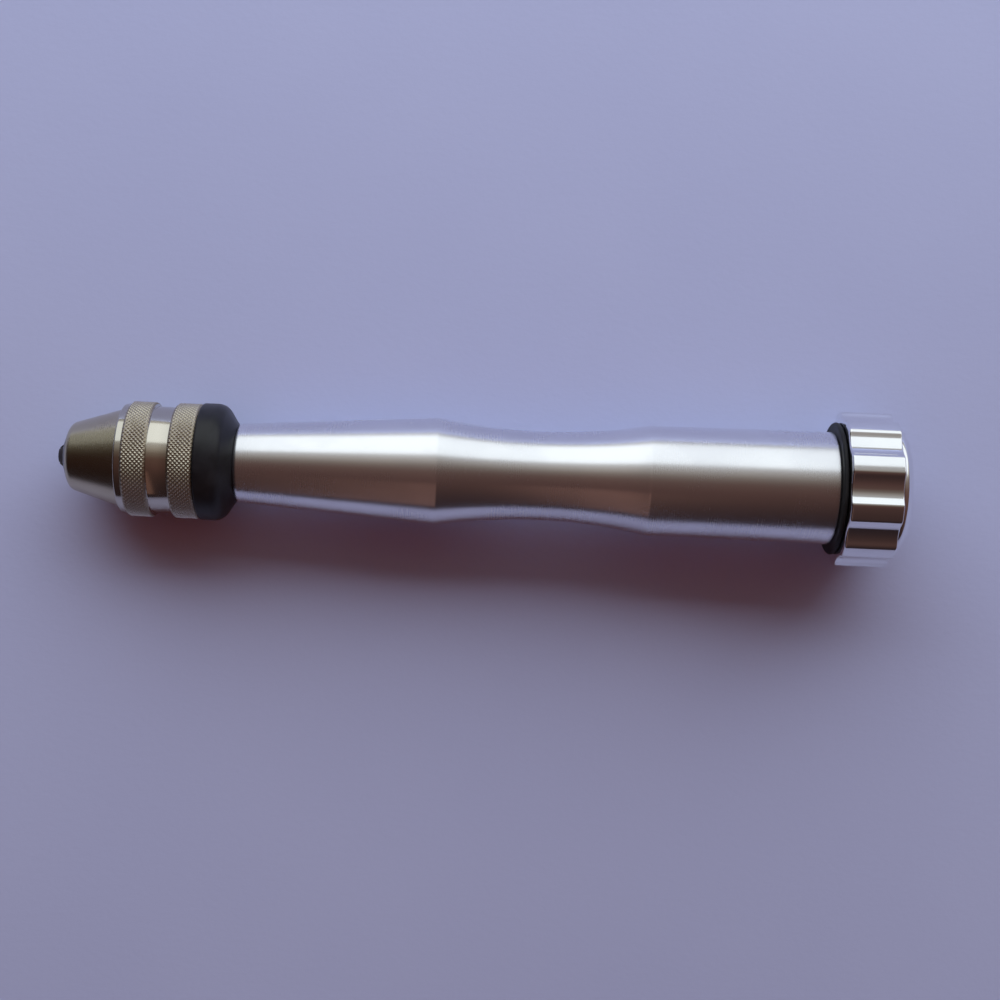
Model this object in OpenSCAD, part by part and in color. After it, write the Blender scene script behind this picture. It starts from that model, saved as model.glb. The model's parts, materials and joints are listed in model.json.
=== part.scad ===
// Pin vise drill: keyless three-jaw chuck, turned barrel and a palm knob that swivels on a ball bearing.
// Every sub-part is drawn about +Z, at its station along the tool, and then laid along +X.
// Stations count from the jaw tips (0) to the crown of the knob cap. The origin is the middle of the tool.

/* [Jaws] */
// Diameter of each round jaw
jaw_d = 3; // [2.8:0.05:3.05]
// Angle of each jaw to the tool axis
jaw_angle = 15; // [14.5:0.1:15.2]
// Length of a jaw along its own axis
jaw_l = 17.2; // [15:0.1:17.2]
// How far the jaw tips stand out of the nose
jaw_lead = 1.1; // [0.9:0.1:1.4]
// Diameter round the three jaw tips
jaw_tip_d = 3.8; // [3.6:0.05:3.85]
// Distance of each jaw's edge from the tool axis, as the jaws stand
jaw_gap = 0.37; // [0.36:0.01:0.4]
// Diameter that the three gripping edges hold, as the jaws stand
grip_d = 1; // [1:0.01:1.05]
// Travel of each jaw from here to fully open
jaw_travel = 4.36; // [4:0.02:4.5]

/* [Chuck body] */
// Diameter of the nose's front face
nose_front_d = 5.8; // [5.4:0.1:6.6]
// Diameter where the front bevel meets the nose cone
nose_edge_d = 11.2; // [10.5:0.1:12]
// Length of the front bevel
nose_bevel_l = 1.1; // [0.8:0.1:1.6]
// Diameter at the rear of the nose cone
nose_rear_d = 16.7; // [15.8:0.1:16.8]
// Length of the nose, from its front face to the sleeve
nose_l = 9.8; // [9.5:0.1:10.2]
// Diameter of the neck inside the split nut
neck_d = 9.8; // [9:0.1:9.9]
// Diameter of the core inside the sleeve
core_d = 15.8; // [15.6:0.05:15.85]
// Diameter of the rear boss that the collar fits on
boss_d = 12; // [11:0.1:12.4]
// Length of the rear boss
boss_l = 4; // [3:0.1:4.4]
// Diameter of the drill's passage through the chuck
drill_bore_d = 3.5; // [3.3:0.1:3.8]

/* [Chuck sleeve] */
// Diameter over the knurled bands
sleeve_d = 19.3; // [18.9:0.1:19.6]
// Diameter of the smooth groove between the bands
groove_d = 17.8; // [17.4:0.1:18]
// Length of the sleeve
sleeve_l = 12.9; // [12.6:0.1:12.9]
// Length of the smooth front lip
sleeve_lip_l = 1.2; // [0.9:0.1:1.4]
// How far the lip lies under the knurled bands
sleeve_lip_depth = 0.5; // [0.3:0.05:0.55]
// Length of each knurled band
band_l = 4.1; // [3.6:0.1:4.2]
// Outer diameter of the split nut
nut_d = 17.1; // [16.95:0.05:17.3]
// Width of the split nut
nut_w = 3.4; // [2.8:0.1:3.4]

/* [Collar] */
// Diameter of the collar
collar_d = 19.6; // [19:0.1:21]
// Length of the collar
collar_l = 6; // [5.6:0.1:6.6]
// Length of its straight part
collar_straight_l = 3.5; // [3:0.1:4]

/* [Barrel] */
// Length of the barrel
barrel_l = 99.5; // [90:0.5:120]
// Diameter at the front, behind the rounded edge
barrel_front_d = 13.3; // [12.6:0.1:14]
// Diameter at the front crease
front_crease_d = 18; // [17:0.1:19]
// Diameter at the rear crease
rear_crease_d = 18.4; // [17:0.1:19]
// Diameter at the rear end
barrel_rear_d = 18.9; // [18:0.1:20]
// Distance of the front crease from the barrel's front end
front_crease_at = 33.4; // [30:0.1:36]
// Distance of the rear crease from the barrel's front end
rear_crease_at = 68.8; // [64:0.1:72]
// How deep the waist is cut below the line between the creases
waist_depth = 1.65; // [1:0.05:2.2]
// Radius of the front edge
front_edge_r = 0.8; // [0.5:0.1:1.4]

/* [Spindle] */
// Thread diameter of the stud between chuck and barrel
stud_d = 8; // [7.5:0.05:8]
// Pitch of the stud's thread
stud_pitch = 0.75; // [0.7:0.05:1]
// How far the stud goes into the barrel
stud_in_barrel = 12; // [10:0.5:14]

/* [Knob] */
// Diameter over the lands between the flutes
knob_d = 25.8; // [25.2:0.1:28]
// Length of the fluted rim
knob_l = 8.6; // [8.6:0.1:10]
// Number of flutes
flutes = 10; // [8:2:12]
// Depth of each flute
flute_depth = 1; // [0.8:0.1:1.2]
// Share of the rim that the lands take
land_share = 0.29; // [0.25:0.01:0.45]
// Diameter of the cap
cap_d = 23.4; // [22:0.1:23.4]
// Radius of the cap's rounded edge
cap_edge_r = 1.3; // [0.8:0.1:1.6]
// Rise of the cap's crown above the rim
cap_rise = 2.6; // [2.2:0.1:3]
// Diameter of the flat crown
crown_d = 13; // [10:0.5:15]
// Diameter of the washer between barrel and knob
washer_d = 22.2; // [21:0.1:24]
// Thickness of that washer
washer_t = 0.8; // [0.6:0.1:1.2]

/* [Bearing] */
// Bore of the ball bearing
bearing_bore = 4; // [3.8:0.05:4]
// Outer diameter of the ball bearing
bearing_od = 12; // [12:0.1:12.6]
// Width of the ball bearing
bearing_w = 4; // [3.6:0.1:4]
// Number of balls
balls = 7; // [6:1:8]
// Ball diameter
ball_d = 2; // [1.9:0.05:2]

/* [Hidden] */
$fn = 96;

// Fits and small features
running = 0.05;      // radial running clearance
jaw_fit = 0.03;      // radial clearance round a jaw and a tapped thread
end_gap = 0.1;       // axial gap between parts that turn past each other
edge = 0.3;          // small edge chamfers
past = 1;            // how far a cut runs past the face it opens
thread_pitch = 1;    // pitch of the jaw thread
thread_depth = 0.3;

// Stations along the tool
nose_front = jaw_lead;
sleeve_front = nose_front + nose_l;
shoulder = sleeve_front + 0.8;
nut_front = shoulder + end_gap;
nut_rear = nut_front + nut_w;
washer_front = nut_rear + end_gap;
washer_rear = washer_front + 0.5;
sleeve_rear = sleeve_front + sleeve_l;
collar_front = sleeve_rear + end_gap;
collar_rear = collar_front + collar_l;
barrel_front = collar_rear;
barrel_rear = barrel_front + barrel_l;
knob_front = barrel_rear + washer_t + end_gap;
knob_rear = knob_front + knob_l;
bearing_front = knob_front + 2.6;
bearing_rear = bearing_front + bearing_w;
ring_rear = bearing_rear + 0.8;
cap_seat = ring_rear + 0.2;
tool_l = knob_rear + cap_rise;

// Chuck radii
slope = tan(jaw_angle);
back_r = jaw_tip_d / 2;                             // the jaws' backs at station 0
jaw_axis_r = back_r - jaw_d / 2 / cos(jaw_angle);   // a jaw's axis at station 0
jaw_bore_l = jaw_l + jaw_travel + 0.25;
socket_front = jaw_bore_l * cos(jaw_angle);         // level with the ends of the jaw bores
stud_front = socket_front + 0.2;
stud_rear = barrel_front + stud_in_barrel;
jaw_turns = [180, 300, 60];

// Knob radii
flute_w = 2 * PI * knob_d / 2 / flutes * (1 - land_share);
flute_r = (flute_w * flute_w / 4 + flute_depth * flute_depth) / (2 * flute_depth);
ball_ring_r = (bearing_bore + bearing_od) / 4;
raceway_r = ball_d / 2 + 0.02;
ring_step = 0.7;     // each ring's shoulder stands this far from the ball circle
bearing_mid = (bearing_front + bearing_rear) / 2;
screw_r = bearing_bore / 2;
screw_tip = barrel_rear - 15;
head_r = 3.4;
head_h = 1.8;
spigot_r = 9.5;

STEEL = [0.72, 0.71, 0.68];
DARK_STEEL = [0.30, 0.29, 0.28];
NICKEL = [0.78, 0.73, 0.62];
ALUMINIUM = [0.86, 0.87, 0.90];
CHROME = [0.90, 0.91, 0.94];
BLACK = [0.06, 0.06, 0.07];
BRASS = [0.80, 0.65, 0.35];

// Lays what is drawn about +Z along +X, with the middle of the tool at the origin.
module laid() {
    translate([-tool_l / 2, 0, 0]) rotate([0, 90, 0]) children();
}

// Turns a closed outline of [radius, station] points about the tool axis.
module turned(outline) {
    rotate_extrude() polygon(outline);
}

// A plain disc or tube between two stations.
module tube(r, from, to, hole_r = 0) {
    difference() {
        translate([0, 0, from]) cylinder(r = r, h = to - from);
        if (hole_r > 0) translate([0, 0, from - past]) cylinder(r = hole_r, h = to - from + 2 * past);
    }
}

// Points on an arc about centre c, from one angle to another.
function arc(c, r, from, to, n = 8) =
    [for (i = [0:n]) c + r * [cos(from + (to - from) * i / n), sin(from + (to - from) * i / n)]];

// The crests and roots of a thread, from one station to another, as ring-shaped points.
function crests(r, from, to, pitch, depth) =
    let (n = floor((to - from) / pitch))
    [for (i = [0:n - 1], half = [0, 0.5]) [r - depth * (half > 0 ? 1 : 0), from + (i + half) * pitch]];

// A solid rod with a thread over all its length.
module threaded_rod(r, from, to, pitch, depth) {
    n = floor((to - from) / pitch);
    turned(concat([[0, from], [r - depth, from]],
                  crests(r, from + pitch / 4, to - pitch / 4, pitch, depth),
                  [[r - depth, to], [0, to]]));
}

// V-shaped rings that follow the jaws' backs; side is 1 to cut outwards and -1 to cut inwards.
module back_rings(from, to, offset, side) {
    for (at = [from:thread_pitch:to])
        rotate_extrude() polygon([
            [back_r + slope * (at - 0.3) + offset - side * 0.05, at - 0.3],
            [back_r + slope * at + offset + side * thread_depth, at],
            [back_r + slope * (at + 0.3) + offset - side * 0.05, at + 0.3]]);
}

// A rod along one slanted jaw axis, measured along that axis from station 0.
module along_jaw(from, to, r) {
    translate([jaw_axis_r, 0, 0]) rotate([0, jaw_angle, 0]) translate([0, 0, from]) cylinder(r = r, h = to - from);
}

module chuck_body() {
    color(STEEL) laid() difference() {
        turned([[0, nose_front], [nose_front_d / 2, nose_front], [nose_edge_d / 2, nose_front + nose_bevel_l],
                [nose_rear_d / 2, sleeve_front], [nose_rear_d / 2, shoulder], [neck_d / 2, shoulder],
                [neck_d / 2, washer_rear], [core_d / 2, washer_rear], [core_d / 2, collar_front],
                [boss_d / 2, collar_front], [boss_d / 2, collar_front + boss_l - edge],
                [boss_d / 2 - edge, collar_front + boss_l], [0, collar_front + boss_l]]);
        tube(drill_bore_d / 2, nose_front - past, socket_front + past);
        tube(stud_d / 2, socket_front, collar_front + boss_l + past);
        for (turn = jaw_turns) rotate(turn) along_jaw(-jaw_d, jaw_bore_l, jaw_d / 2 + jaw_fit);
    }
}

module thrust_washer() {
    color(DARK_STEEL) laid() tube(core_d / 2, washer_front, washer_rear, back_r + slope * washer_rear + 0.1);
}

module chuck_sleeve() {
    band_1 = sleeve_front + sleeve_lip_l;
    band_2 = sleeve_rear - band_l;
    r = sleeve_d / 2;
    lip_r = r - sleeve_lip_depth;
    color(NICKEL) laid() turned([
        [nut_d / 2, sleeve_front], [lip_r - 0.1, sleeve_front], [lip_r, sleeve_front + 0.1], [lip_r, band_1],
        [r - edge, band_1], [r, band_1 + edge],
        [r, band_1 + band_l - edge], [r - edge, band_1 + band_l], [groove_d / 2, band_1 + band_l],
        [groove_d / 2, band_2], [r - edge, band_2], [r, band_2 + edge], [r, sleeve_rear - edge],
        [r - edge, sleeve_rear], [core_d / 2 + running, sleeve_rear], [core_d / 2 + running, nut_rear],
        [nut_d / 2, nut_rear]]);
}

// One half of the split nut; side is 1 or -1.
module nut_half(side) {
    split = 0.05;
    color(BRASS) laid() difference() {
        tube(nut_d / 2, nut_front, nut_rear);
        turned([[0, nut_front - past], [back_r + slope * (nut_front - past) + running, nut_front - past],
                [back_r + slope * (nut_rear + past) + running, nut_rear + past], [0, nut_rear + past]]);
        back_rings(nut_front + 0.7, nut_rear - 0.4, running, 1);
        translate([-nut_d, side > 0 ? -nut_d + split : -split, nut_front - past])
            cube([2 * nut_d, nut_d, nut_w + 2 * past]);
    }
}

module nut_half_a() nut_half(1);
module nut_half_b() nut_half(-1);

// One jaw: a slanted rod, cut to a 120 degree wedge with a hollow gripping edge and a threaded back.
module jaw(turn) {
    color(DARK_STEEL) laid() rotate(turn) difference() {
        intersection() {
            along_jaw(-jaw_d, jaw_l, jaw_d / 2);
            linear_extrude(height = jaw_l * 2)
                polygon([[jaw_gap, 0], [jaw_gap + 3 * jaw_d, 3 * jaw_d * tan(60)],
                         [jaw_gap + 3 * jaw_d, -3 * jaw_d * tan(60)]]);
            turned([[0, 0], [back_r - 0.5, 0], [back_r + 0.1, 0.7], [jaw_l, 0.7 + jaw_l], [0, 0.7 + jaw_l]]);
        }
        tube(grip_d / 2, -past, jaw_l);
        back_rings(jaw_l / 2, jaw_l - 1.2, 0, -1);
    }
}

module jaw_1() jaw(jaw_turns[0]);
module jaw_2() jaw(jaw_turns[1]);
module jaw_3() jaw(jaw_turns[2]);

module front_collar() {
    r = collar_d / 2;
    rear_r = (barrel_front_d - front_edge_r) / 2;          // where the barrel's flat front face ends
    color(BLACK) laid() difference() {
        turned([[0, collar_front], [r - edge, collar_front], [r, collar_front + edge],
                [r, collar_front + collar_straight_l], [rear_r, collar_rear], [0, collar_rear]]);
        tube(boss_d / 2 + running, collar_front - past, collar_front + boss_l + end_gap);
        tube(stud_d / 2 + 0.1, collar_front, collar_rear + past);
    }
}

module spindle_stud() {
    color(STEEL) laid() threaded_rod(stud_d / 2 - jaw_fit, stud_front, stud_rear, stud_pitch, stud_pitch * 0.5);
}

module barrel() {
    front_r = barrel_front_d / 2;
    crease_1 = [front_crease_d / 2, barrel_front + front_crease_at];
    crease_2 = [rear_crease_d / 2, barrel_front + rear_crease_at];
    half_chord = norm(crease_2 - crease_1) / 2;
    along = (crease_2 - crease_1) / (2 * half_chord);
    outward = [along[1], -along[0]];
    waist_r = (half_chord * half_chord + waist_depth * waist_depth) / (2 * waist_depth);
    waist_centre = (crease_1 + crease_2) / 2 + outward * (waist_r - waist_depth);
    color(ALUMINIUM) laid() difference() {
        rotate_extrude() difference() {
            polygon(concat([[0, barrel_front]],
                           arc([front_r - front_edge_r, barrel_front + front_edge_r * sin(60)],
                               front_edge_r, -60, 0, 6),
                           [crease_1, crease_2, [barrel_rear_d / 2, barrel_rear - edge],
                            [barrel_rear_d / 2 - edge, barrel_rear], [0, barrel_rear]]));
            translate(waist_centre) circle(r = waist_r, $fn = 720);
        }
        tube(stud_d / 2, barrel_front - past, stud_rear + 0.5);
        tube(screw_r, screw_tip - 0.5, barrel_rear + past);
    }
}

module knob_washer() {
    rim = washer_t / 2;
    color(BLACK) laid() rotate_extrude() {
        translate([screw_r + 0.1, barrel_rear]) square([washer_d / 2 - rim - screw_r - 0.1, washer_t]);
        translate([washer_d / 2 - rim, barrel_rear + rim]) intersection() {
            circle(r = rim);
            translate([0, -washer_t]) square(2 * washer_t);
        }
    }
}

module axle_screw() {
    socket_af = 2.5;
    color(STEEL) laid() difference() {
        union() {
            threaded_rod(screw_r - 0.02, screw_tip, barrel_rear, 0.7, 0.35);
            tube(screw_r - 0.02, barrel_rear - edge, bearing_rear + edge);
            turned([[0, bearing_rear], [head_r, bearing_rear], [head_r, bearing_rear + head_h - edge],
                    [head_r - edge, bearing_rear + head_h], [0, bearing_rear + head_h]]);
        }
        translate([0, 0, bearing_rear + head_h - 1.2]) cylinder(d = socket_af / cos(30), h = 1.2 + past, $fn = 6);
    }
}

module bearing_spacer() {
    color(STEEL) laid() tube(screw_r + 0.9, barrel_rear + washer_t, bearing_front, screw_r);
}

module raceway() {
    rotate_extrude() translate([ball_ring_r, bearing_mid]) circle(r = raceway_r);
}

module bearing_inner_ring() {
    color(CHROME) laid() difference() {
        tube(ball_ring_r - ring_step, bearing_front, bearing_rear, bearing_bore / 2);
        raceway();
    }
}

module bearing_outer_ring() {
    color(CHROME) laid() difference() {
        tube(bearing_od / 2, bearing_front, bearing_rear, ball_ring_r + ring_step);
        raceway();
    }
}

module ball_set(r) {
    for (i = [0:balls - 1]) rotate(i * 360 / balls) translate([ball_ring_r, 0, bearing_mid]) sphere(r = r);
}

module bearing_balls() {
    color(STEEL) laid() ball_set(ball_d / 2);
}

module bearing_cage() {
    half_w = 0.45;
    color(BRASS) laid() difference() {
        tube(ball_ring_r + half_w, bearing_mid - 0.5, bearing_rear - 0.3, ball_ring_r - half_w);
        ball_set(raceway_r + 0.02);
    }
}

// Open snap ring with two plier holes beside its gap.
module retaining_ring() {
    r = bearing_od / 2 + 0.5;
    color(DARK_STEEL) laid() difference() {
        tube(r, bearing_rear, ring_rear, bearing_od / 2 - 0.9);
        translate([0, -0.7, bearing_rear - past]) cube([2 * r, 1.4, 1 + 2 * past]);
        for (side = [-1, 1]) rotate(side * 14)
            translate([bearing_od / 2 - 0.2, 0, bearing_rear - past]) cylinder(r = 0.35, h = 1 + 2 * past);
    }
}

module knob() {
    r = knob_d / 2;
    color(CHROME) laid() difference() {
        turned([[0, knob_front], [r - 0.5, knob_front], [r, knob_front + 0.5],
                [r, knob_rear - edge], [r - edge, knob_rear], [0, knob_rear]]);
        for (i = [0:flutes - 1]) rotate(i * 360 / flutes)
            translate([r - flute_depth + flute_r, 0, knob_front - past])
                cylinder(r = flute_r, h = knob_l + 2 * past);
        tube(bearing_od / 2 - 1, knob_front - past, knob_rear);
        tube(bearing_od / 2, bearing_front, knob_rear + past);
        tube(bearing_od / 2 + 0.5, bearing_rear, ring_rear);
        tube(spigot_r, cap_seat, knob_rear + past);
    }
}

// A flat crown, a dome tangent to it, and a rounded edge tangent to the dome.
module knob_cap() {
    crown_r = crown_d / 2;
    edge_at = cap_d / 2 - cap_edge_r;                      // radius at the middle of the edge's arc
    dome_w = edge_at - crown_r;
    dome_r = (dome_w * dome_w + cap_rise * cap_rise - cap_edge_r * cap_edge_r) / (2 * (cap_rise - cap_edge_r));
    join = atan2(dome_r - cap_rise, dome_w);               // where the edge's arc meets the dome
    color(CHROME) laid() difference() {
        union() {
            turned(concat([[0, knob_rear]],
                          arc([edge_at, knob_rear], cap_edge_r, 0, join, 6),
                          arc([crown_r, tool_l - dome_r], dome_r, join, 90, 12),
                          [[0, tool_l]]));
            tube(spigot_r, cap_seat, knob_rear + edge);
        }
        tube(head_r + 1.6, cap_seat - past, bearing_rear + head_h + 0.4);
        tube(spigot_r - 2, cap_seat - past, knob_rear);
    }
}

barrel();
spindle_stud();
front_collar();
chuck_body();
thrust_washer();
chuck_sleeve();
nut_half_a();
nut_half_b();
jaw_1();
jaw_2();
jaw_3();
knob_washer();
axle_screw();
bearing_spacer();
bearing_inner_ring();
bearing_outer_ring();
bearing_balls();
bearing_cage();
retaining_ring();
knob();
knob_cap();
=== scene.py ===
import json
import math

import bmesh
import bpy
from mathutils import Euler, Matrix, Vector


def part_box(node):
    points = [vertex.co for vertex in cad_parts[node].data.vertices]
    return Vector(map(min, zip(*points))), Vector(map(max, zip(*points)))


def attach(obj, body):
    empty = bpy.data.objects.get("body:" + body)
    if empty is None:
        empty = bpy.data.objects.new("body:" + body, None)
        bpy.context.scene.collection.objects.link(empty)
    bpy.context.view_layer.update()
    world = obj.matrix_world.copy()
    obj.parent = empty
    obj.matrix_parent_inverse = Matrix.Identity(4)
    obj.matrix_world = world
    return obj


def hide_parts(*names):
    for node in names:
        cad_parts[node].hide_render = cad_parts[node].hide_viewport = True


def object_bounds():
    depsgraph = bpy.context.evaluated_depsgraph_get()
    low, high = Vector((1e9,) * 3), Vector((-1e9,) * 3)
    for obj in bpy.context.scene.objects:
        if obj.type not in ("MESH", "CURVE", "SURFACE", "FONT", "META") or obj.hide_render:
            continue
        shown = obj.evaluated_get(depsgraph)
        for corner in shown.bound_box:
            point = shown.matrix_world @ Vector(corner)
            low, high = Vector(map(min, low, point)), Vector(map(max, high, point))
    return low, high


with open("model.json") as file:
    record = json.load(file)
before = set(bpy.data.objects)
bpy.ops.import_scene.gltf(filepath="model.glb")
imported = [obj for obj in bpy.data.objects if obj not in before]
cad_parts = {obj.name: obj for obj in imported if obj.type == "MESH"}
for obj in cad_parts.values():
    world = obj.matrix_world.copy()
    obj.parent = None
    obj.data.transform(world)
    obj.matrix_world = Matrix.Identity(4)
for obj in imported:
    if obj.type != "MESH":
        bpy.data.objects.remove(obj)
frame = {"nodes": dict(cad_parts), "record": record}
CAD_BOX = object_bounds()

# The tool lies along X, chuck towards -X. Outlines are pairs (x, r) in millimetres,
# along the axis and out from it.
MM = 0.001
FULL_TURN = 2 * math.pi

# Edges that turn more than this many degrees stay crisp
SHARP = 32


# ---------------------------------------------------------------- places taken from the frame

def span(node):
    """The lowest and highest x of a CAD node, in millimetres."""
    low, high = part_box(node)
    return low.x / MM, high.x / MM


def radius(node):
    """The largest radius of a round CAD node, in millimetres."""
    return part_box(node)[1].y / MM


NOSE_FRONT, NOSE_BACK = span("chuck_body")
SLEEVE_FRONT, SLEEVE_BACK = span("chuck_sleeve")
COLLAR_FRONT, COLLAR_BACK = span("front_collar")
BARREL_FRONT, BARREL_BACK = span("barrel")
WASHER_FRONT, WASHER_BACK = span("knob_washer")
KNOB_FRONT, KNOB_BACK = span("knob")
CAP_FRONT, CAP_BACK = span("knob_cap")
BEARING_FRONT, BEARING_BACK = span("bearing_outer_ring")
RING_BACK = span("retaining_ring")[1]
SLEEVE_R = radius("chuck_sleeve")
COLLAR_R = radius("front_collar")
WASHER_R = radius("knob_washer")
CAP_R = radius("knob_cap")
BEARING_R = radius("bearing_outer_ring")

# Sizes that the boxes don't give
BAND_L = 4.1
BAND_1 = (SLEEVE_FRONT + 1.2, SLEEVE_FRONT + 1.2 + BAND_L)
BAND_2 = (SLEEVE_BACK - BAND_L, SLEEVE_BACK)
KNURLS = 84
KNURL_DEPTH = 0.17
KNURL_SAMPLES = 8
CORE_R = 7.9
NUT_R = 8.55
NECK_R = 4.9
BOSS_R = 6.0
STUD_R = 4.0
DRILL_R = 1.75
NOSE_R = 8.35
JAW_R = 1.53
JAW_SLANT = math.radians(15)
JAW_AXIS_R = 0.347
JAW_BORE_L = 21.81
KNOB_R = 12.9
FLUTES = 10
FLUTE_DEPTH = 1.0
LAND_SHARE = 0.29
SPIGOT_R = 9.5


# ---------------------------------------------------------------- mesh helpers

def rounded(corners, steps=6):
    """A closed outline from corners (x, r, fillet radius), each corner with a fillet turned into an arc."""
    points = []
    count = len(corners)
    for i, (x, r, fillet) in enumerate(corners):
        here = Vector((x, r))
        back = Vector(corners[i - 1][:2]) - here
        ahead = Vector(corners[(i + 1) % count][:2]) - here
        opening = back.angle(ahead)
        if fillet <= 0 or opening > math.pi - 1e-3:
            points.append((x, r))
            continue
        reach = min(fillet / math.tan(opening / 2), 0.49 * back.length, 0.49 * ahead.length)
        size = reach * math.tan(opening / 2)
        centre = here + (back.normalized() + ahead.normalized()).normalized() * size / math.sin(opening / 2)
        start = here + back.normalized() * reach - centre
        turn = start.angle_signed(here + ahead.normalized() * reach - centre)
        for k in range(steps + 1):
            angle = -turn * k / steps
            spoke = Vector((start.x * math.cos(angle) - start.y * math.sin(angle),
                            start.x * math.sin(angle) + start.y * math.cos(angle)))
            points.append(tuple(centre + spoke))
    return points


def arc(centre, size, start, end, steps):
    """Points on a circle in the outline's plane, between two angles in degrees."""
    angles = [math.radians(start + (end - start) * k / steps) for k in range(steps + 1)]
    return [(centre[0] + size * math.cos(a), centre[1] + size * math.sin(a)) for a in angles]


def surface(name, rings, sharp=SHARP):
    """A closed mesh through rings of points (x, y, z) in millimetres; a ring of one point is a pole."""
    mesh = bmesh.new()
    loops = [[mesh.verts.new([c * MM for c in p]) for p in ring] for ring in rings]
    for a, b in zip(loops, loops[1:] + loops[:1]):
        if len(a) == 1 and len(b) == 1:
            continue
        count = max(len(a), len(b))
        for i in range(count):
            j = (i + 1) % count
            corners = [a[i % len(a)], a[j % len(a)], b[j % len(b)], b[i % len(b)]]
            mesh.faces.new(list(dict.fromkeys(corners)))
    bmesh.ops.recalc_face_normals(mesh, faces=mesh.faces)
    data = bpy.data.meshes.new(name)
    mesh.to_mesh(data)
    mesh.free()
    return piece(name, data, sharp)


def piece(name, data, sharp):
    """An object with smooth shading that keeps edges over the sharp angle crisp."""
    obj = bpy.data.objects.new(name, data)
    bpy.context.scene.collection.objects.link(obj)
    data.polygons.foreach_set("use_smooth", [True] * len(data.polygons))
    data.set_sharp_from_angle(angle=math.radians(sharp))
    normals = obj.modifiers.new("face_weighted_normals", "WEIGHTED_NORMAL")
    normals.keep_sharp = True
    return obj


def circle(x, r, sides):
    """A ring of points about the tool axis at x, or one point on the axis."""
    if r < 1e-6:
        return [(x, 0.0, 0.0)]
    turns = [FULL_TURN * i / sides for i in range(sides)]
    return [(x, r * math.cos(t), r * math.sin(t)) for t in turns]


def turned(name, outline, sides=256):
    """A closed outline of (x, r) points turned about the tool axis."""
    return surface(name, [circle(x, r, sides) for x, r in outline])


def cut(obj, cutters):
    """Subtracts closed meshes from a piece, and drops them."""
    for cutter in cutters:
        boolean = obj.modifiers.new("cut", "BOOLEAN")
        boolean.operation = "DIFFERENCE"
        boolean.solver = "EXACT"
        boolean.object = cutter
        bpy.context.view_layer.update()
        result = bpy.data.meshes.new_from_object(obj.evaluated_get(bpy.context.evaluated_depsgraph_get()))
        obj.modifiers.remove(boolean)
        obj.data = result
        bpy.data.objects.remove(cutter)


def place(obj, body, slot, finish, *nodes):
    """Gives a piece its material and its body, and hides the CAD nodes that it stands for. The slot is not
    used.
    """
    obj.data.materials.clear()
    obj.data.materials.append(finish)
    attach(obj, body)
    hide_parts(*nodes)
    return obj


# ---------------------------------------------------------------- material helpers

class Finish:
    """A material whose nodes are added one line at a time."""

    def __init__(self, name):
        self.material = bpy.data.materials.new(name)
        self.material.use_nodes = True
        self.tree = self.material.node_tree
        self.shader = self.tree.nodes["Principled BSDF"]
        self.place = self.add("ShaderNodeTexCoord").outputs["Object"]

    def add(self, kind, inputs=None, **settings):
        """A new node, with its inputs linked or set."""
        node = self.tree.nodes.new(kind)
        for key, value in settings.items():
            setattr(node, key, value)
        for key, value in (inputs or {}).items():
            self.set(node.inputs[key], value)
        return node

    def set(self, socket, value):
        """Links a socket to another one, or gives it a plain value."""
        if isinstance(value, bpy.types.NodeSocket):
            self.tree.links.new(value, socket)
        else:
            socket.default_value = value

    def maths(self, operation, a, b=0.0, c=0.0, clamp=False):
        node = self.add("ShaderNodeMath", {0: a, 1: b, 2: c}, operation=operation)
        node.use_clamp = clamp
        return node.outputs[0]

    def stretched(self, along, across):
        """Object coordinates scaled by along on X and across on Y and Z."""
        mapping = self.add("ShaderNodeMapping", {"Vector": self.place, "Scale": (along, across, across)})
        return mapping.outputs["Vector"]

    def noise(self, vector, scale=1.0, detail=4.0, roughness=0.55):
        node = self.add("ShaderNodeTexNoise", {"Vector": vector, "Scale": scale, "Detail": detail,
                                               "Roughness": roughness})
        return node.outputs["Fac"]

    def ramp(self, value, low, high, to_low=0.0, to_high=1.0):
        """Spreads low..high of a value over to_low..to_high, held at the ends."""
        node = self.add("ShaderNodeMapRange", {"Value": value, "From Min": low, "From Max": high,
                                               "To Min": to_low, "To Max": to_high})
        return node.outputs["Result"]

    def mix(self, share, a, b):
        node = self.add("ShaderNodeMix", data_type="RGBA")
        self.set(node.inputs[0], share)
        self.set(node.inputs[6], a)
        self.set(node.inputs[7], b)
        return node.outputs[2]

    def bump(self, height, depth, under=None):
        """A bump of that depth in metres, laid over another one."""
        inputs = {"Height": height, "Strength": 1.0, "Distance": depth}
        if under is not None:
            inputs["Normal"] = under
        return self.add("ShaderNodeBump", inputs).outputs["Normal"]

    def axis_radius(self):
        """Distance from the tool axis, in millimetres."""
        split = self.add("ShaderNodeSeparateXYZ", {"Vector": self.place})
        y2 = self.maths("MULTIPLY", split.outputs["Y"], split.outputs["Y"])
        r2 = self.maths("MULTIPLY_ADD", split.outputs["Z"], split.outputs["Z"], y2)
        return self.maths("MULTIPLY", self.maths("SQRT", r2), 1 / MM)

    def inside(self, spans):
        """1 where x is in one of the spans, which are in millimetres, and 0 elsewhere."""
        x = self.add("ShaderNodeSeparateXYZ", {"Vector": self.place}).outputs["X"]
        share = 0.0
        for low, high in spans:
            above = self.maths("GREATER_THAN", x, low * MM)
            below = self.maths("LESS_THAN", x, high * MM)
            share = self.maths("MULTIPLY_ADD", above, below, share)
        return share

    def shade(self, **sockets):
        """Sets the shader's sockets and gives back the material."""
        names = {"colour": "Base Color", "metallic": "Metallic", "roughness": "Roughness", "normal": "Normal",
                 "anisotropic": "Anisotropic", "rotation": "Anisotropic Rotation", "tangent": "Tangent",
                 "specular": "Specular IOR Level"}
        for key, value in sockets.items():
            self.set(self.shader.inputs[names[key]], value)
        return self.material


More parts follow.
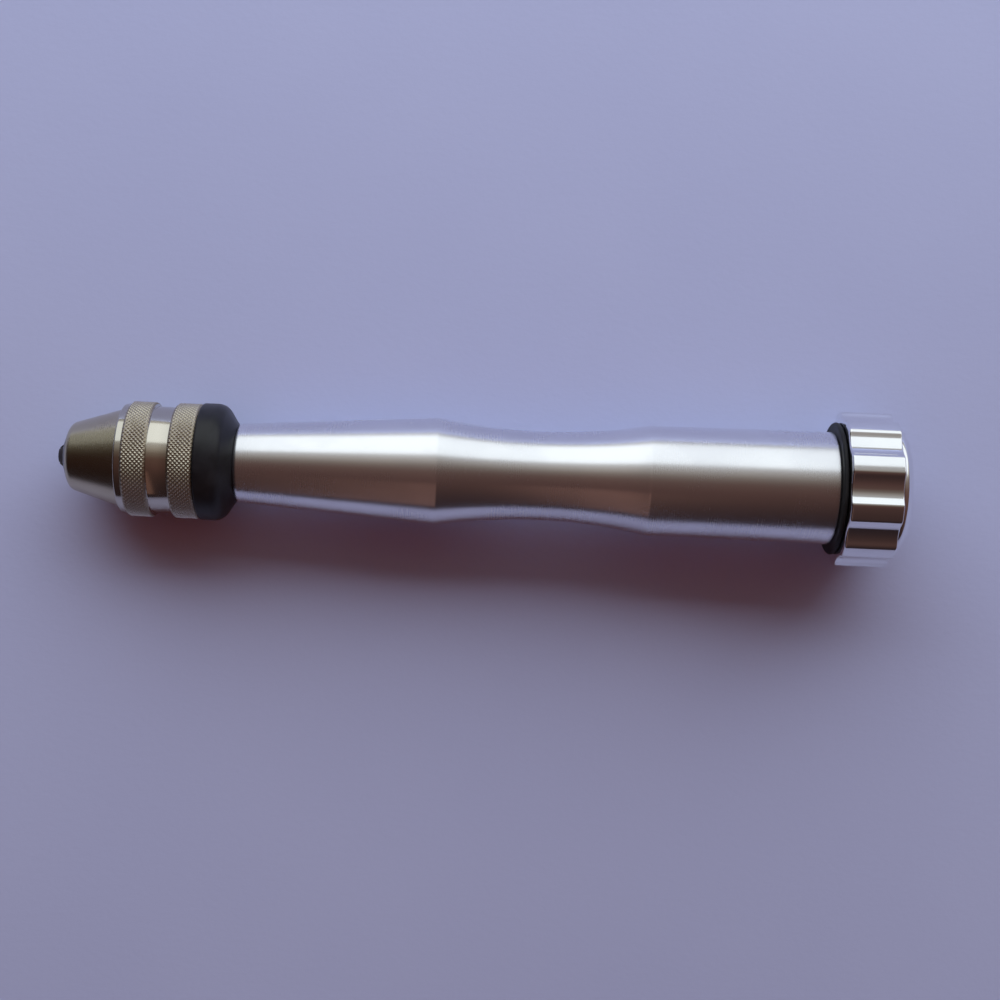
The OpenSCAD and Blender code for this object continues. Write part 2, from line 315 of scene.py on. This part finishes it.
def turned_metal(name, colour, smudged, rough, rough_spread, rings, ring_depth, scratch_depth,
                 anisotropic=0.0, painted_shade=None):
    """Metal off a lathe: fine rings, soft smudges of another colour and a few scratches.

    Depths are in metres, and painted_shade is a span along X and the darker colour painted there as shade."""
    f = Finish(name)
    smudge = f.ramp(f.noise(f.stretched(60, 110), detail=5), 0.42, 0.68)
    ring = f.noise(f.stretched(rings, 0.0), detail=3, roughness=0.7)
    fine = f.noise(f.stretched(900, 2600), detail=2)
    scratch = f.ramp(f.noise(f.stretched(500, 9000), detail=2, roughness=0.8), 0.66, 0.74)
    roughness = f.maths("MULTIPLY_ADD", smudge, rough_spread, rough)
    roughness = f.maths("MULTIPLY_ADD", f.ramp(ring, 0.35, 0.65), rough_spread * 0.5, roughness)
    normal = f.bump(ring, ring_depth)
    normal = f.bump(fine, ring_depth * 0.25, normal)
    normal = f.bump(scratch, scratch_depth, normal)
    tangent = f.add("ShaderNodeTangent", direction_type="RADIAL", axis="X").outputs["Tangent"]
    blend = f.mix(smudge, colour, smudged)
    # Painted shade: one span along X takes a darker colour.
    if painted_shade:
        blend = f.mix(f.inside([painted_shade[0]]), blend, painted_shade[1])
    return f.shade(colour=blend, metallic=1.0, roughness=roughness, normal=normal,
                   anisotropic=anisotropic, rotation=0.25, tangent=tangent)


def knurled_metal(name, polished, colour, valley_shade_colour, bands, knurl_depth):
    """Plated metal: polished where it is smooth, duller in the knurled bands, with painted shade darkening
    their valleys.
    """
    f = Finish(name)
    knurled = f.inside(bands)
    patch = f.ramp(f.noise(f.stretched(250, 250), detail=4), 0.3, 0.7)
    depth = f.ramp(f.axis_radius(), SLEEVE_R, SLEEVE_R - knurl_depth)
    valley = f.maths("MULTIPLY", depth, f.maths("MULTIPLY_ADD", patch, 0.4, 0.6))
    # Painted shade: the knurl valleys darken with their depth, varied a little by noise.
    valley_shade = f.maths("MULTIPLY", knurled, valley)
    smooth = f.maths("MULTIPLY_ADD", patch, 0.05, 0.10)
    dull = f.maths("MULTIPLY_ADD", valley, 0.15, 0.34)
    roughness = f.maths("MULTIPLY_ADD", knurled, f.maths("SUBTRACT", dull, smooth), smooth)
    rings = f.bump(f.noise(f.stretched(5000, 0.0), detail=3, roughness=0.7), 0.000001)
    normal = f.bump(f.noise(f.stretched(3000, 3000), detail=3), 0.000002, rings)
    # The knurled bands turn towards the darker painted-shade colour in their valleys.
    plated = f.mix(knurled, polished, f.mix(valley_shade, colour, valley_shade_colour))
    return f.shade(colour=plated, metallic=1.0, roughness=roughness, normal=normal)


def black_moulding(name, colour, worn, rough, grain_depth, specular):
    """Black plastic or rubber: fine grain, faint turning lines and edges rubbed a little paler."""
    f = Finish(name)
    grain = f.noise(f.stretched(2200, 2200), detail=5, roughness=0.65)
    line = f.noise(f.stretched(2600, 0.0), detail=2)
    smudge = f.ramp(f.noise(f.stretched(140, 140), detail=5), 0.4, 0.7)
    edge = f.ramp(f.add("ShaderNodeNewGeometry").outputs["Pointiness"], 0.515, 0.56)
    rubbed = f.maths("MULTIPLY", edge, f.ramp(grain, 0.35, 0.6), clamp=True)
    normal = f.bump(line, grain_depth * 0.5, f.bump(grain, grain_depth))
    roughness = f.maths("MULTIPLY_ADD", smudge, 0.14, rough)
    return f.shade(colour=f.mix(rubbed, f.mix(smudge, colour, worn), worn), metallic=0.0, roughness=roughness,
                   normal=normal, specular=specular)


# ---------------------------------------------------------------- finishes

def make_finishes():
    """One material for each slot in the record."""
    return {
        "barrel_aluminium": turned_metal(
            "polished_aluminium", colour=(0.88, 0.89, 0.92, 1), smudged=(0.80, 0.81, 0.85, 1), rough=0.23,
            rough_spread=0.05, rings=9000, ring_depth=0.0000016, scratch_depth=0.0000004, anisotropic=0.45),
        "knob_chrome": turned_metal(
            "bright_chrome", colour=(0.90, 0.91, 0.93, 1), smudged=(0.84, 0.85, 0.88, 1), rough=0.07,
            rough_spread=0.05, rings=5000, ring_depth=0.0000006, scratch_depth=0.0000003),
        "sleeve_nickel": knurled_metal(
            "knurled_nickel", polished=(0.60, 0.57, 0.50, 1), colour=(0.75, 0.70, 0.59, 1),
            # the third colour is painted shade for the knurl valleys
            valley_shade_colour=(0.36, 0.30, 0.22, 1), bands=[BAND_1, BAND_2], knurl_depth=KNURL_DEPTH),
        "nose_steel": turned_metal(
            "turned_nickel", colour=(0.60, 0.55, 0.41, 1), smudged=(0.50, 0.44, 0.33, 1), rough=0.20,
            rough_spread=0.07, rings=7000, ring_depth=0.0000015, scratch_depth=0.0000005, anisotropic=0.8,
            # painted shade: a dark colour over the nose's front face and bevel
            painted_shade=((NOSE_FRONT - 1, NOSE_FRONT + 0.95), (0.12, 0.115, 0.09, 1))),
        "jaw_steel": turned_metal(
            "blackened_steel", colour=(0.075, 0.062, 0.055, 1), smudged=(0.04, 0.036, 0.034, 1), rough=0.34,
            rough_spread=0.12, rings=5000, ring_depth=0.000003, scratch_depth=0.000001),
        "plain_steel": turned_metal(
            "machined_steel", colour=(0.60, 0.60, 0.60, 1), smudged=(0.42, 0.41, 0.40, 1), rough=0.28,
            rough_spread=0.12, rings=6000, ring_depth=0.000003, scratch_depth=0.000001),
        "bearing_steel": turned_metal(
            "ground_steel", colour=(0.74, 0.75, 0.77, 1), smudged=(0.62, 0.62, 0.64, 1), rough=0.12,
            rough_spread=0.06, rings=6000, ring_depth=0.000001, scratch_depth=0.0000004),
        "cage_brass": turned_metal(
            "stamped_brass", colour=(0.80, 0.62, 0.30, 1), smudged=(0.60, 0.44, 0.20, 1), rough=0.30,
            rough_spread=0.12, rings=3000, ring_depth=0.000002, scratch_depth=0.000001),
        "collar_plastic": black_moulding(
            "satin_black_plastic", colour=(0.006, 0.006, 0.008, 1), worn=(0.020, 0.020, 0.025, 1), rough=0.34,
            grain_depth=0.000004, specular=0.35),
        "washer_rubber": black_moulding(
            "black_rubber", colour=(0.006, 0.006, 0.007, 1), worn=(0.018, 0.018, 0.02, 1), rough=0.50,
            grain_depth=0.000008, specular=0.3),
    }


# ---------------------------------------------------------------- chuck

def make_nose(finishes):
    """The chuck's nose and core: a turned body with three slanted jaw bores and the drill passage."""
    front_l, front_r, edge_r = 1.1, 2.9, 5.6
    shoulder = SLEEVE_FRONT + 0.8
    neck_l, socket_l = 4.1, 7.13
    flange, socket = shoulder + neck_l, NOSE_BACK - socket_l
    outline = rounded([
        (NOSE_FRONT, 0.0, 0), (NOSE_FRONT, front_r, 0.2), (NOSE_FRONT + front_l, edge_r, 1.5),
        (SLEEVE_FRONT, NOSE_R, 0.1), (shoulder, NOSE_R, 0.1), (shoulder, NECK_R, 0.1), (flange, NECK_R, 0.1),
        (flange, CORE_R, 0.1), (COLLAR_FRONT, CORE_R, 0.1), (COLLAR_FRONT, BOSS_R, 0.1),
        (NOSE_BACK, BOSS_R, 0.3), (NOSE_BACK, STUD_R, 0), (socket, STUD_R, 0), (socket, 0.0, 0)])
    nose = turned("chuck_nose", outline, sides=192)
    cut(nose, [rod("drill_passage", DRILL_R, NOSE_FRONT - 1, socket + 1)]
        + [jaw_bore(turn) for turn in (90, 210, 330)])
    nose.data.set_sharp_from_angle(angle=math.radians(SHARP))
    return place(nose, "handle", "nose_steel", finishes["nose_steel"], "chuck_body")


def rod(name, r, start, end):
    """A plain cylinder about the tool axis, as a cutter."""
    return turned(name, [(start, 0.0), (start, r), (end, r), (end, 0.0)], sides=96)


def jaw_bore(turn):
    """The cutter for one jaw's bore; turn is its angle about the tool axis in degrees."""
    tip, past_tip = CAD_BOX[0][0], 3.0
    cutter = rod("jaw_bore", JAW_R, -past_tip, JAW_BORE_L)
    slant = Euler((0, -JAW_SLANT, 0)).to_matrix().to_4x4()
    about_axis = Euler((math.radians(turn) - math.pi / 2, 0, 0)).to_matrix().to_4x4()
    cutter.data.transform(slant)
    cutter.data.transform(about_axis @ Matrix.Translation((tip, 0, JAW_AXIS_R * MM)))
    return cutter


def knurl_height(across, along):
    """Height of the diamond knurl from 0 in the valleys to 1 on the tops, at places counted in diamonds."""
    slope_share = 0.85
    walls = [2 * min(s % 1.0, 1 - s % 1.0) for s in (across + along, across - along)]
    return min(min(walls) / slope_share, 1.0)


def knurled_band(band):
    """The rings of one band, which rise from and sink to chamfered ends."""
    chamfer = 0.3
    columns = KNURLS * KNURL_SAMPLES
    diamond_l = FULL_TURN * SLEEVE_R / KNURLS
    rows = round(KNURL_SAMPLES * BAND_L / diamond_l)
    rings = []
    for k in range(rows + 1):
        along = k * BAND_L / rows
        ease = min(1.0, along / chamfer, (BAND_L - along) / chamfer)
        top = SLEEVE_R - chamfer * (1 - ease)
        ring = []
        for i in range(columns):
            r = top - KNURL_DEPTH * ease * (1 - knurl_height(i / KNURL_SAMPLES, along / diamond_l))
            turn = FULL_TURN * i / columns
            ring.append((band[0] + along, r * math.cos(turn), r * math.sin(turn)))
        rings.append(ring)
    return rings


def make_sleeve(finishes):
    """The sleeve: a smooth lip, and two bands of real diamond knurl with a smooth groove between them."""
    lip_r, groove_r, sides = SLEEVE_R - 0.5, 8.9, KNURLS * KNURL_SAMPLES
    nut_back, core_bore_r = SLEEVE_FRONT + 4.3, CORE_R + 0.05
    band_end_r, groove_rim_r = SLEEVE_R - 0.35, SLEEVE_R - 0.32
    front = rounded([(SLEEVE_FRONT + 3, NUT_R, 0), (SLEEVE_FRONT, NUT_R, 0.05), (SLEEVE_FRONT, lip_r, 0.35),
                     (BAND_1[0], lip_r, 0.04), (BAND_1[0], band_end_r, 0)])[1:]
    groove = rounded([(BAND_1[1], groove_rim_r, 0), (BAND_1[1], groove_r, 0.15),
                      (BAND_2[0], groove_r, 0.15), (BAND_2[0], groove_rim_r, 0)])
    back = [(SLEEVE_BACK, band_end_r), (SLEEVE_BACK, core_bore_r), (nut_back, core_bore_r), (nut_back, NUT_R)]
    front, groove, back = [[circle(x, r, sides) for x, r in outline] for outline in (front, groove, back)]
    rings = front + knurled_band(BAND_1) + groove + knurled_band(BAND_2) + back
    sleeve = surface("knurled_sleeve", rings, sharp=40)
    return place(sleeve, "sleeve", "sleeve_nickel", finishes["sleeve_nickel"], "chuck_sleeve")


def make_collar(finishes):
    """The black collar: a short cylinder with a rounded shoulder, bored for the chuck's boss and the stud."""
    rear_r, boss_bore_r, stud_bore_r = 6.25, BOSS_R + 0.05, STUD_R + 0.1
    shoulder, step = COLLAR_FRONT + 3.7, COLLAR_FRONT + 4.1
    outline = rounded([
        (COLLAR_FRONT, boss_bore_r, 0.05), (COLLAR_FRONT, COLLAR_R, 0.35), (shoulder, COLLAR_R, 2.4),
        (COLLAR_BACK, rear_r, 0.7), (COLLAR_BACK, stud_bore_r, 0.05), (step, stud_bore_r, 0),
        (step, boss_bore_r, 0)])
    collar = turned("black_collar", outline)
    return place(collar, "handle", "collar_plastic", finishes["collar_plastic"], "front_collar")


# ---------------------------------------------------------------- barrel

def waist(crease_1, crease_2, depth, steps=72):
    """The concave arc between two creases, cut to that depth below the line between them."""
    a, b = Vector(crease_1), Vector(crease_2)
    half = (b - a).length / 2
    size = (half * half + depth * depth) / (2 * depth)
    along = (b - a).normalized()
    outward = Vector((-along.y, along.x))
    centre = (a + b) / 2 + outward * (size - depth)
    reach = math.asin(half / size)
    points = []
    for k in range(steps + 1):
        angle = reach * (2 * k / steps - 1)
        points.append(tuple(centre + along * size * math.sin(angle) - outward * size * math.cos(angle)))
    return points


def make_barrel(finishes):
    """The handle: a taper, a waist for the fingers and a plain rear, with a threaded hole in each end."""
    front_r, front_edge, rear_r, rear_edge = 6.65, 0.8, 9.45, 0.3
    crease_1 = (BARREL_FRONT + 33.4, 9.0)
    crease_2 = (BARREL_FRONT + 68.8, 9.2)
    waist_depth = 1.65
    stud_hole, screw_hole, screw_r = BARREL_FRONT + 12.5, BARREL_BACK - 15.5, 2.0
    edge_x = BARREL_FRONT + front_edge * math.sin(math.radians(60))
    edge = arc((edge_x, front_r - front_edge), front_edge, 150, 90, 8)
    hollow = waist(crease_1, crease_2, waist_depth)
    rear = rounded([
        (BARREL_BACK - 3, rear_r, 0), (BARREL_BACK, rear_r, rear_edge), (BARREL_BACK, screw_r, 0.1),
        (screw_hole, screw_r, 0), (screw_hole, 0, 0), (stud_hole, 0, 0), (stud_hole, STUD_R, 0),
        (BARREL_FRONT, STUD_R, 0.1)])[1:]
    barrel = turned("turned_barrel", edge + hollow + rear, sides=384)
    return place(barrel, "handle", "barrel_aluminium", finishes["barrel_aluminium"], "barrel")


# ---------------------------------------------------------------- knob

def flute_radius(turn):
    """The knob's radius at an angle about the axis, flute centres at multiples of a tenth of a turn."""
    pitch = FULL_TURN / FLUTES
    width = pitch * KNOB_R * (1 - LAND_SHARE)
    size = (width * width / 4 + FLUTE_DEPTH ** 2) / (2 * FLUTE_DEPTH)
    centre = KNOB_R - FLUTE_DEPTH + size
    off = (turn + pitch / 2) % pitch - pitch / 2
    inside = size * size - (centre * math.sin(off)) ** 2
    if inside <= 0:
        return KNOB_R
    return min(KNOB_R, centre * math.cos(off) - math.sqrt(inside))


def fluted_ring(x, inset, sides):
    """A ring round the flutes, moved in by inset, with the corners of the lands rounded over."""
    spread = 8
    reach = range(1 - spread, spread)
    weights = [1 + math.cos(math.pi * k / spread) for k in reach]
    plain = [flute_radius(FULL_TURN * i / sides - math.pi / 2) for i in range(sides)]
    ring = []
    for i in range(sides):
        r = sum(w * plain[(i + k) % sides] for w, k in zip(weights, reach)) / sum(weights) - inset
        turn = FULL_TURN * i / sides
        ring.append((x, r * math.cos(turn), r * math.sin(turn)))
    return ring


def make_knob(finishes):
    """The fluted rim, with its bearing pocket, snap-ring groove and cap seat."""
    sides, front_edge, back_edge, steps = 960, 0.4, 0.3, 5
    groove_r, pocket_r = BEARING_R + 0.5, BEARING_R - 1
    quarter = [math.pi / 2 * k / steps for k in range(steps + 1)]
    rings = [fluted_ring(KNOB_FRONT + front_edge * (1 - math.cos(a)), front_edge * (1 - math.sin(a)), sides)
             for a in quarter]
    rings += [fluted_ring(KNOB_BACK - back_edge * (1 - math.sin(a)), back_edge * (1 - math.cos(a)), sides)
              for a in quarter]
    seat = RING_BACK + 0.2
    inner = [
        (KNOB_BACK, SPIGOT_R), (seat, SPIGOT_R), (seat, BEARING_R), (RING_BACK, BEARING_R),
        (RING_BACK, groove_r), (BEARING_BACK, groove_r), (BEARING_BACK, BEARING_R),
        (BEARING_FRONT, BEARING_R), (BEARING_FRONT, pocket_r), (KNOB_FRONT, pocket_r)]
    knob = surface("fluted_knob", rings + [circle(x, r, sides) for x, r in inner])
    return place(knob, "knob", "knob_chrome", finishes["knob_chrome"], "knob")


def make_cap(finishes):
    """The low cap: a flat crown, a dome tangent to it and a rounded edge tangent to the dome."""
    crown_r, edge_r, rise = 6.5, 1.3, CAP_BACK - KNOB_BACK
    edge_at = CAP_R - edge_r
    width = edge_at - crown_r
    dome_r = (width * width + rise * rise - edge_r * edge_r) / (2 * (rise - edge_r))
    join = math.degrees(math.atan2(width, dome_r - rise))
    spigot_wall, recess, recess_r = 2, BEARING_BACK + 2.2, 5.0
    outline = [(CAP_BACK, 0.0)] + arc((CAP_BACK - dome_r, crown_r), dome_r, 0, join, 24)
    outline += arc((KNOB_BACK, edge_at), edge_r, join, 90, 16)[1:]
    outline += [(KNOB_BACK, SPIGOT_R), (CAP_FRONT, SPIGOT_R), (CAP_FRONT, SPIGOT_R - spigot_wall),
                (KNOB_BACK, SPIGOT_R - spigot_wall), (KNOB_BACK, recess_r), (recess, recess_r), (recess, 0.0)]
    return place(turned("domed_cap", outline), "knob", "knob_chrome", finishes["knob_chrome"], "knob_cap")


def make_washer(finishes):
    """The black washer, with a round rim."""
    hole_r, rim = 2.1, (WASHER_BACK - WASHER_FRONT) / 2
    middle = (WASHER_FRONT + WASHER_BACK) / 2
    round_rim = arc((middle, WASHER_R - rim), rim, 180, 0, 20)
    washer = turned("black_washer", [(WASHER_FRONT, hole_r)] + round_rim + [(WASHER_BACK, hole_r)])
    return place(washer, "handle", "washer_rubber", finishes["washer_rubber"], "knob_washer")


# ---------------------------------------------------------------- parts kept from the CAD

def finish_kept_nodes(finishes):
    """Every CAD node that still shows gets the finish of its slot."""
    slots = {part["node"]: part["material_slot"] for part in frame["record"]["subparts"]}
    for name, node in frame["nodes"].items():
        node.data.materials.clear()
        node.data.materials.append(finishes[slots[name]])


# ---------------------------------------------------------------- stage, lights and camera

def make_floor():
    """Plain pale paper that the collar and the knob touch."""
    touch_1 = Vector(((COLLAR_FRONT + 3.2) * MM, 0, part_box("front_collar")[0].z))
    touch_2 = Vector(((KNOB_FRONT + 0.5) * MM, 0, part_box("knob")[0].z))
    slope = math.atan2(touch_1.z - touch_2.z, touch_2.x - touch_1.x)
    bpy.ops.mesh.primitive_plane_add(size=3.0)
    floor = bpy.context.active_object
    floor.name = "floor"
    floor.rotation_euler = (0, slope, 0)
    floor.location = touch_1
    f = Finish("pale_paper")
    fibre = f.noise(f.stretched(700, 900), detail=6, roughness=0.6)
    cloud = f.noise(f.stretched(9, 9), detail=3)
    colour = f.mix(f.ramp(cloud, 0.35, 0.65), (0.385, 0.41, 0.635, 1), (0.405, 0.43, 0.655, 1))
    floor.data.materials.append(f.shade(colour=colour, metallic=0.0, roughness=0.9, specular=0.1,
                                        normal=f.bump(fibre, 0.00003)))


def area_light(name, direction, distance, size, power, colour, aside=0.0):
    """A soft panel that faces the tool from one direction, moved aside along X."""
    data = bpy.data.lights.new(name, "AREA")
    data.shape = "RECTANGLE"
    data.size, data.size_y = size
    data.energy = power
    data.color = colour
    light = bpy.data.objects.new(name, data)
    light.location = direction.normalized() * distance + Vector((aside, 0, 0))
    light.rotation_euler = (-direction).to_track_quat("-Z", "Y").to_euler()
    bpy.context.scene.collection.objects.link(light)
    return light


def make_lights():
    """A wide soft window, a warm wall, and two fills that don't show in reflections.

    The fills light the paper and its shadow without burning out the metal."""
    daylight = (0.86, 0.955, 1.0)
    window_side = Vector((0, 0.857, 0.515))
    area_light("window", window_side, distance=0.65, size=(1.9, 0.58), power=2.45, colour=daylight,
               aside=0.39)
    window_fill = area_light("window_fill", window_side, distance=0.58, size=(1.2, 0.51), power=5.25,
                             colour=daylight)
    room_fill = area_light("room_fill", Vector((0, -0.2, 0.98)), distance=0.45, size=(0.8, 0.4), power=0.20,
                           colour=(1.0, 0.10, 0.02))
    for fill in (window_fill, room_fill):
        fill.visible_glossy = False
    area_light("warm_wall", Vector((-0.12, -0.80, 0.58)), distance=0.6, size=(0.15, 0.60), power=0.036,
               colour=(1.0, 0.52, 0.40))
    make_world()


def make_world():
    """A dim warm room, brighter overhead and on the window's side, and darkest beyond the chuck."""
    world = bpy.data.worlds.new("studio")
    world.use_nodes = True
    nodes, links = world.node_tree.nodes, world.node_tree.links
    split = nodes.new("ShaderNodeSeparateXYZ")
    links.new(nodes.new("ShaderNodeTexCoord").outputs["Generated"], split.inputs["Vector"])

    def graded(axis, stops):
        """Colours over one direction, with stops from -1 to 1."""
        share = nodes.new("ShaderNodeMapRange")
        share.inputs["From Min"].default_value = -1.0
        links.new(split.outputs[axis], share.inputs["Value"])
        ramp = nodes.new("ShaderNodeValToRGB")
        links.new(share.outputs["Result"], ramp.inputs["Fac"])
        elements = ramp.color_ramp.elements
        while len(elements) < len(stops):
            elements.new(1.0)
        for element, (at, colour) in zip(elements, stops):
            element.position = (at + 1) / 2
            element.color = colour + (1,)
        return ramp.outputs["Color"]

    to_window = graded("Y", [(-1.0, (0.022, 0.014, 0.016)), (-0.6, (0.050, 0.027, 0.024)),
                             (-0.3, (0.080, 0.042, 0.036)), (0.0, (0.100, 0.058, 0.048)),
                             (0.2, (0.160, 0.125, 0.105)), (0.36, (0.300, 0.270, 0.240)),
                             (0.56, (0.440, 0.430, 0.420))])
    to_knob = graded("X", [(at, (share,) * 3) for at, share in [
        (-0.75, 0.18), (-0.45, 0.42), (-0.22, 0.96), (0.05, 0.75), (0.3, 0.62), (0.7, 0.85)]])
    product = nodes.new("ShaderNodeMix")
    product.data_type = "RGBA"
    product.blend_type = "MULTIPLY"
    product.inputs[0].default_value = 1.0
    links.new(to_window, product.inputs[6])
    links.new(to_knob, product.inputs[7])
    links.new(product.outputs[2], nodes["Background"].inputs["Color"])
    nodes["Background"].inputs["Strength"].default_value = 1.4
    bpy.context.scene.world = world


def make_camera():
    """Straight above the tool, turned a little so that the knob lies lower in the picture."""
    data = bpy.data.cameras.new("camera")
    data.sensor_width = 36
    data.lens = 55.7
    data.clip_start = 0.01
    camera = bpy.data.objects.new("camera", data)
    camera.location = (0.00332, -0.00433, 0.260)
    camera.rotation_euler = (0, 0, math.radians(2.46))
    bpy.context.scene.collection.objects.link(camera)
    bpy.context.scene.camera = camera


# ---------------------------------------------------------------- the scene

bpy.context.scene.view_settings.view_transform = "Standard"
make_camera()
make_lights()
make_floor()
FINISHES = make_finishes()
finish_kept_nodes(FINISHES)
make_nose(FINISHES)
make_sleeve(FINISHES)
make_collar(FINISHES)
make_barrel(FINISHES)
make_washer(FINISHES)
make_knob(FINISHES)
make_cap(FINISHES)
